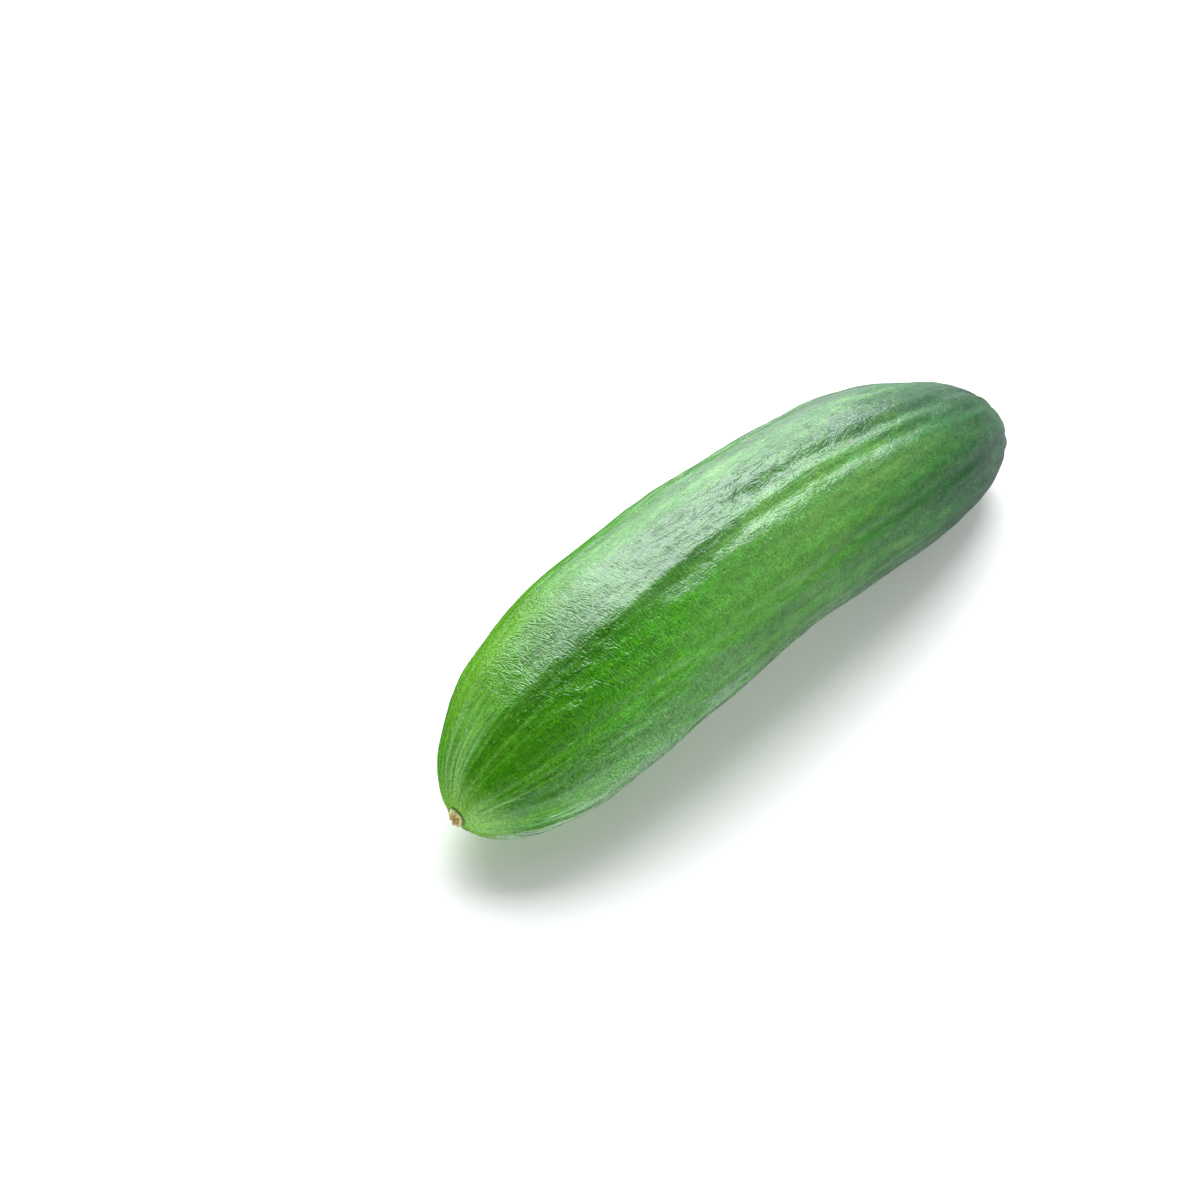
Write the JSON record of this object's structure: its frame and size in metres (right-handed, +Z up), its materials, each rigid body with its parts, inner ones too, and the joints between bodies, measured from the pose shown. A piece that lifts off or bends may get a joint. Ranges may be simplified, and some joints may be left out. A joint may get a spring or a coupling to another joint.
{
  "type": "cucumber",
  "caption": "Short ribbed cucumber, gently bent, as picked, lying arched on its two ends.",
  "frame": {"origin": "on the surface that the fruit rests on, under the middle of its bounding box", "axes": "+X from the blossom end to the stem end, +Z up, away from the surface that it rests on"},
  "size_m": [0.1696, 0.042, 0.0443],
  "materials": {
    "skin": "glossy waxy green skin with paler ribs",
    "scar": "dry straw-coloured blossom scar",
    "stem_cut": "dry cut stem, pale green and brown"
  },
  "bodies": {
    "root": {"cucumber": "skin"}
  },
  "joints": []
}
